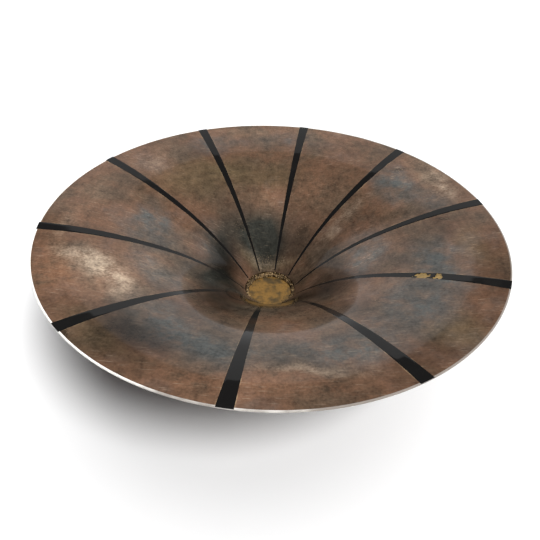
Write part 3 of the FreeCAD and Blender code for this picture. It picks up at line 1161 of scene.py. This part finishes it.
@dataclass
class Inlays:
    """The black stripes, each its own piece."""

    flare: Flare
    stripes: Sequence[Stripe]
    side_gap: float = math.radians(0.01)
    edge_fall: float = 0.06 * MM
    rim_gap: float = 0.02 * MM

    def build(self, material: Material) -> list[bpy.types.Object]:
        """Lay every stripe with the same tree."""
        tree = StripeTree(material)
        return [self.lay(tree, stripe, material) for stripe in self.stripes]

    def lay(
        self, tree: StripeTree, stripe: Stripe, material: Material
    ) -> bpy.types.Object:
        """Lay one stripe in its channel.

        Args:
            tree: the tree that lays it.
            stripe: the stripe.
            material: its lacquer.

        Returns:
            The piece.
        """
        flare = self.flare
        middle, width = stripe.span()
        flakes = [*stripe.flakes, (0.5, 0.0), (0.5, 0.0)][:2]
        sizes = {
            "Turn": middle, "Width": width - 2 * self.side_gap, "Start": stripe.start(),
            "Rim": flare.rim - self.rim_gap, "Blend": flare.blend,
            "Inner Arc": flare.inner_arc, "Inner Centre": flare.inner_centre,
            "Inner Base": flare.inner_base, "Outer Arc": flare.outer_arc,
            "Outer Centre": flare.outer_centre, "Outer Base": flare.outer_base,
            "Thickness": flare.channel, "Edge Fall": self.edge_fall,
            "Flake Place": flakes[0][0] * flare.rim, "Flake Length": flakes[0][1] * flare.rim,
            "Second Flake Place": flakes[1][0] * flare.rim,
            "Second Flake Length": flakes[1][1] * flare.rim,
            "Seed": stripe.number * 1.7,
        }
        mesh = tree.grow(f"inlay_{stripe.number:02d}", sizes)
        piece = add_piece(mesh.name, mesh, [material], 50.0)
        return join_frame(piece, stripe.node)


@dataclass
class NeckSeam:
    """Hand-laid ring of brazing metal round the centre plate."""

    SIZES = ("Inner", "Outer", "Low", "High", "Bead", "Voxel")

    beads: int = 54
    beads_more: int = 5
    rows: int = 3
    bead: float = 1.0 * MM
    voxel: float = 0.28 * MM
    band: float = 0.6 * MM
    core: float = 0.36
    seed: int = 7
    strays: tuple[Sequence[float], ...] = (
        (-0.45 * MM, -0.45 * MM, -0.4 * MM), (0.45 * MM, 0.45 * MM, 0.5 * MM)
    )
    shapes: tuple[Sequence[float], ...] = ((0.75, 0.75, 0.6), (1.35, 1.35, 1.15))

    def row(self, bench: GrowBench, index: int) -> Socket:
        """One ring of uneven beads, each a little out of line.

        Args:
            bench: the nodes to add to.
            index: the ring's number, from the inside.

        Returns:
            The beads' geometry.
        """
        given, share = bench.given, (index + 0.5) / self.rows
        reach = given["Inner"] + (given["Outer"] - given["Inner"]) * share
        height = given["Low"] + (given["High"] - given["Low"]) * share
        count = {"Vertices": self.beads + self.beads_more * index, "Radius": reach}
        shift = bench.vector("ADD", bench.random(*self.strays, self.seed + index), bench.xyz(Z=height))
        placed = {"Geometry": bench.made("MeshCircle", count), "Offset": shift}
        laid = {
            "Points": bench.made("SetPosition", placed),
            "Instance": bench.made("MeshIcoSphere", {"Radius": given["Bead"], "Subdivisions": 2}),
            "Scale": bench.random(*self.shapes, self.seed + 20 + index),
        }
        return bench.made("RealizeInstances", {"Geometry": bench.made("InstanceOnPoints", laid)})

    def ring(self, bench: GrowBench) -> Socket:
        """Plain ring that fills the space under the beads.

        Args:
            bench: the nodes to add to.

        Returns:
            The ring's geometry.
        """
        given, by_radius = bench.given, {"mode": "RADIUS"}
        middle = (given["Inner"] + given["Outer"]) * 0.5
        thick = (given["Outer"] - given["Inner"]) * self.core
        path = bench.made("CurvePrimitiveCircle", {"Resolution": 128, "Radius": middle}, by_radius)
        tube = bench.made("CurvePrimitiveCircle", {"Resolution": 20, "Radius": thick}, by_radius)
        solid = bench.made("CurveToMesh", {"Curve": path, "Profile Curve": tube})
        lift = bench.xyz(Z=given["Low"] * 0.6 + given["High"] * 0.4)
        return bench.made("SetPosition", {"Geometry": solid, "Offset": lift})

    def build(self, material: Material) -> bpy.types.Object:
        """Melt the beads into one skin, between the plate's edge and the neck's lip.

        Args:
            material: what the piece is made of.

        Returns:
            The piece.
        """
        bench = GrowBench("lay_braze", self.SIZES)
        rows = [self.row(bench, index) for index in range(self.rows)]
        parts = bench.joined([*rows, self.ring(bench)])
        voxels, cell = {"resolution_mode": "VOXEL_SIZE"}, {"Voxel Size": bench.given["Voxel"]}
        full = {"Mesh": parts, "Density": 1.0, "Interior Band Width": self.band, **cell}
        fog = bench.made("MeshToVolume", full, voxels)
        inputs = {"Volume": fog, "Threshold": 0.1, "Adaptivity": 0.0, **cell}
        bench.hand_over(bench.made("VolumeToMesh", inputs, voxels), material)
        _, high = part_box("neck_seam")
        _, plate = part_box("centre_plate")
        sizes = {
            "Inner": plate[0] - 0.1 * MM, "Outer": high[0] - 1.3 * MM,
            "Low": plate[2] - 0.2 * MM, "High": high[2] - 0.5 * MM,
            "Bead": self.bead, "Voxel": self.voxel,
        }
        mesh = bench.grow("braze_ring", sizes)
        return join_frame(add_piece("braze_ring", mesh, [material], 180.0), "neck_seam")


@dataclass
class CentrePlate:
    """Brass disc at the bottom of the neck."""

    edge_round: float = 0.35 * MM
    dish: float = 0.25 * MM
    ripple: float = 0.10 * MM

    def build(self, material: Material) -> bpy.types.Object:
        """Turn the disc, then make its face a little uneven.

        Args:
            material: what the piece is made of.

        Returns:
            The piece.
        """
        low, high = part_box("centre_plate")
        radius, top, bottom = high[0], high[2], low[2]
        section = [(0.0, bottom), (radius, bottom), (radius, top - self.edge_round)]
        for step in range(1, 5):
            angle = math.radians(22.5 * step)
            across = radius - self.edge_round * (1 - math.cos(angle))
            section.append((across, top - self.edge_round * (1 - math.sin(angle))))
        rings = 36
        edge = radius - self.edge_round
        section += [(edge * (1 - step / rings), top) for step in range(1, rings + 1)]
        mesh = lathe("plate", section, 160)
        for vertex in mesh.vertices:
            if vertex.co.z > top - 0.01 * MM:
                share = math.hypot(vertex.co.x, vertex.co.y) / radius
                rough = noise.noise(vertex.co * 210.0) + 0.5 * noise.noise(vertex.co * 520.0)
                fall = self.dish * (1 - share**2) + self.ripple * (rough + 1.2)
                vertex.co.z -= fall * min(1.0, (1 - share) * 12)
        return join_frame(add_piece("brass_plate", mesh, [material]), "centre_plate")


@dataclass
class Foot:
    """Turned foot with fine grooves; the fillet that joins it to the sheet is built by FootSeam."""

    flare: Flare
    cove: float = 0.024
    collar_width: float = 6.6 * MM
    collar_wall: float = 3.5 * MM
    edge_height: float = 3.5 * MM
    chamfer: float = 0.6 * MM
    ring_width: float = 12.0 * MM
    relief: float = 1.0 * MM
    groove: float = 0.35 * MM
    softening: float = 0.15 * MM
    seat_steps: int = 8

    def hollow(self, start: tuple[float, float], end: tuple[float, float], steps: int) -> list:
        """Points of the cove between two ends, the last one included.

        Args:
            start: where the cove begins.
            end: where it ends.
            steps: how many points it has.

        Returns:
            The points.
        """
        first, last = Vector(start), Vector(end)
        chord = last - first
        right = Vector((chord.y, -chord.x)).normalized()
        centre = (first + last) / 2 + right * math.sqrt(self.cove**2 - chord.length_squared / 4)
        begin = math.atan2(*(first - centre).yx)
        sweep = math.remainder(math.atan2(*(last - centre).yx) - begin, math.tau)
        angles = [begin + sweep * step / steps for step in range(1, steps + 1)]
        return [(centre + self.cove * Vector((math.cos(a), math.sin(a)))).to_tuple() for a in angles]

    def build(self, material: Material) -> bpy.types.Object:
        """Turn the foot from its section, bottom first, with the metal on the left.

        Args:
            material: what the piece is made of.

        Returns:
            The piece.
        """
        _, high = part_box("foot")
        plate_low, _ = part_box("centre_plate")
        radius, seat = high[0], plate_low[2]
        flare, soft = self.flare, self.softening
        collar = flare.point(flare.neck + self.collar_width, flare.gauge)
        wall = (collar[0], collar[1] - self.collar_wall)
        ring = radius - self.ring_width
        section = [(0.0, self.relief), (ring - soft, self.relief)]
        section += [(ring, self.relief - soft), (ring, soft)]
        section += [(ring + soft, 0.0), (radius - self.chamfer, 0.0), (radius, self.chamfer)]
        middle, groove = self.edge_height * 0.55, self.groove
        section += [(radius, middle - groove), (radius - groove, middle), (radius, middle + groove)]
        section += [(radius, self.edge_height - soft), (radius - soft, self.edge_height)]
        section += self.hollow((radius - soft, self.edge_height), wall, 28)
        section.append(collar)
        for step in range(1, self.seat_steps + 1):
            across = flare.neck + self.collar_width * (1 - step / self.seat_steps)
            section.append(flare.point(across, flare.gauge))
        section += [(section[-1][0], seat), (0.0, seat)]
        mesh = lathe("foot_turned", section, 256)
        return join_frame(add_piece("turned_foot", mesh, [material], 30.0), "foot")


@dataclass
class FootSeam:
    """Brazed fillet between the foot's collar and the sheet, a little uneven."""

    flare: Flare
    foot: Foot
    leg: float = 2.5 * MM
    unevenness: float = 0.25 * MM
    sag: float = 0.22
    steps: int = 10

    def build(self, material: Material) -> bpy.types.Object:
        """Turn the fillet, then make its face lumpy.

        Args:
            material: what the piece is made of.

        Returns:
            The piece.
        """
        flare = self.flare
        inner = flare.neck + self.foot.collar_width
        corner = flare.point(inner, flare.gauge)
        tip = flare.point(inner + self.leg, flare.gauge)
        low = (corner[0], corner[1] - self.leg)
        section = [corner, low]
        for step in range(1, self.steps):
            share = step / self.steps
            sag = self.sag * self.leg * math.sin(math.pi * share)
            across = low[0] + (tip[0] - low[0]) * share - sag * 0.5
            section.append((across, low[1] + (tip[1] - low[1]) * share + sag))
        section += [tip, corner]
        mesh = lathe("foot_fillet", section, 300)
        for vertex in mesh.vertices:
            out = math.hypot(vertex.co.x, vertex.co.y)
            if out > corner[0] + 0.05 * MM and vertex.co.z < tip[1] - 0.05 * MM:
                push = self.unevenness * noise.noise(vertex.co * 320.0)
                vertex.co.xy *= (out + push) / out
        return join_frame(add_piece("foot_braze", mesh, [material], 60.0), "foot_seam")


# ---------------------------------------------------------------------------------------------
# Floor, lights and camera
# ---------------------------------------------------------------------------------------------


@dataclass
class Studio:
    """Pale floor, soft lights and the camera. Distances are shares of the rim's radius."""

    flare: Flare
    rim_height: float
    camera_back: float = 1.659
    camera_up: float = 1.064
    aim_below_rim: float = 0.338
    camera_roll: float = 1.89
    focal_share: float = 0.806
    aim_aside: float = -0.0026
    screen_radiance: float = 0.36
    room: Colour = (0.07, 0.07, 0.075)
    room_low: Colour = (0.40, 0.40, 0.41)

    def camera(self) -> None:
        """Camera in front of the dish, looking down at its axis."""
        reach = self.flare.rim
        data = bpy.data.cameras.new("camera")
        data.sensor_width = 36.0
        data.lens = data.sensor_width * self.focal_share
        data.clip_start, data.clip_end = 0.01, 50.0
        camera = bpy.data.objects.new("camera", data)
        bpy.context.scene.collection.objects.link(camera)
        bpy.context.scene.camera = camera
        camera.location = (0.0, -self.camera_back * reach, self.rim_height + self.camera_up * reach)
        target = Vector((self.aim_aside * reach, 0.0, self.rim_height - self.aim_below_rim * reach))
        look = (target - camera.location).to_track_quat("-Z", "Y")
        camera.rotation_mode = "QUATERNION"
        camera.rotation_quaternion = look @ Quaternion((0, 0, 1), math.radians(self.camera_roll))

    def floor(self) -> None:
        """Wide pale disc under the foot."""
        mesh = lathe("floor", [(6.0, 0.0), (1.5, 0.0), (0.0, 0.0)], 96)
        floor = [PaleFloor("pale_floor", roughness=0.9).make()]
        add_piece("studio_floor", mesh, floor)

    def hang(
        self, light: bpy.types.Light, place: Sequence[float], facing: Vector, in_gloss: bool
    ) -> None:
        """Put a light in the scene, unseen by the camera.

        Args:
            light: the light's data.
            place: where its middle is, in metres.
            facing: the direction that it shines in.
            in_gloss: whether reflections show it.
        """
        lamp = bpy.data.objects.new(light.name, light)
        bpy.context.scene.collection.objects.link(lamp)
        lamp.location = place
        lamp.rotation_mode = "QUATERNION"
        lamp.rotation_quaternion = facing.to_track_quat("-Z", "Y")
        lamp.visible_camera = False
        lamp.visible_glossy = in_gloss

    def screen(self) -> None:
        """Pale upright screen behind the dish, which its lacquer mirrors."""
        reach = self.flare.rim
        top = self.rim_height + 1.25 * reach
        light = bpy.data.lights.new("back_screen", "AREA")
        light.shape = "RECTANGLE"
        light.size, light.size_y = 3.4 * reach, top
        light.energy = self.screen_radiance * math.pi * light.size * light.size_y
        place = Vector((0.0, 1.5 * reach, top / 2))
        self.hang(light, place, Vector((0.0, -1.0, 0.0)), True)

    def sun(self, name: str, heading: Sequence[float], width: float, strength: float) -> None:
        """Add a wide, even light that reflections don't show.

        Args:
            name: the light's name.
            heading: the direction that it comes from.
            width: the angle that it fills, in degrees.
            strength: how much light it gives.
        """
        light = bpy.data.lights.new(name, "SUN")
        light.angle = math.radians(width)
        light.energy = strength
        self.hang(light, (0.0, 0.0, 0.0), -Vector(heading), False)

    def lights(self) -> None:
        """The screen, and soft light from two sides."""
        self.screen()
        self.sun("key", (0.62, -0.55, 1.22), 24.0, 3.4)
        self.sun("overhead", (0.20, 0.60, 1.0), 75.0, 2.2)

    def world(self) -> None:
        """Dim room whose lower part is pale, and white where the camera looks past the floor."""
        world = bpy.data.worlds.new("room")
        bpy.context.scene.world = world
        world.use_nodes = True
        bench = Bench(world.node_tree)
        ray = bench.node("ShaderNodeLightPath")
        heading = bench.node("ShaderNodeTexCoord").outputs["Generated"]
        low = bench.ramp(bench.axis(heading, "Z"), 0.25, 0.05)
        room = bench.mix(low, self.room, self.room_low)
        seen = bench.mix(ray.outputs["Is Camera Ray"], room, (1.0, 1.0, 1.0))
        shade = bench.node("ShaderNodeBackground", {}, {"Color": seen, "Strength": 1.0})
        output = bench.node("ShaderNodeOutputWorld")
        plug(bench.tree, output.inputs["Surface"], shade.outputs[0])

    def build(self) -> None:
        """Set up all of it, the camera first."""
        self.camera()
        self.floor()
        self.lights()
        self.world()
        bpy.context.scene.view_settings.view_transform = "Standard"
        log.info("studio is set")


def main() -> None:
    """Build the studio, then the dish from the sheet inwards."""
    logging.basicConfig(level=logging.INFO, format="%(name)s: %(message)s")
    noise.seed_set(PATCH_SEED)
    flare = Flare()
    rim_height = float(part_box("flared_shell")[1][2])
    Studio(flare, rim_height).build()

    stripes = [Stripe(number) for number in range(1, 11)]
    stripes[3].flakes = ((0.690, 0.026), (0.750, 0.014))
    lacquered = {"coat": 1.0, "coat_roughness": 0.07}
    sheet = [
        SpunPatina("spun_patina", roughness=0.42, radius=flare.rim, **lacquered).make(),
        UnderPatina("under_patina", roughness=0.38, metallic=0.35).make(),
        # The edge's low metallic lets its near-white colour show as a painted highlight.
        BareEdgeWithPaintedGlint("bare_edge", roughness=0.18, metallic=0.1).make(),
    ]
    braze = Braze("braze", metallic=0.6).make()
    foot = Foot(flare)
    Shell(flare, stripes).build(sheet)
    Inlays(flare, stripes).build(BlackLacquer("black_lacquer", roughness=0.4, coat=1.0).make())
    CentrePlate().build(AgedBrass("plate_brass", roughness=0.36, metallic=0.55, coat=0.3).make())
    NeckSeam().build(braze)
    foot_brass = AgedBrass("foot_brass", roughness=0.3, metallic=0.8, specks=0.3, lathe_rings=1.0)
    foot.build(foot_brass.make())
    FootSeam(flare, foot).build(braze)


if __name__ == "__main__":
    main()
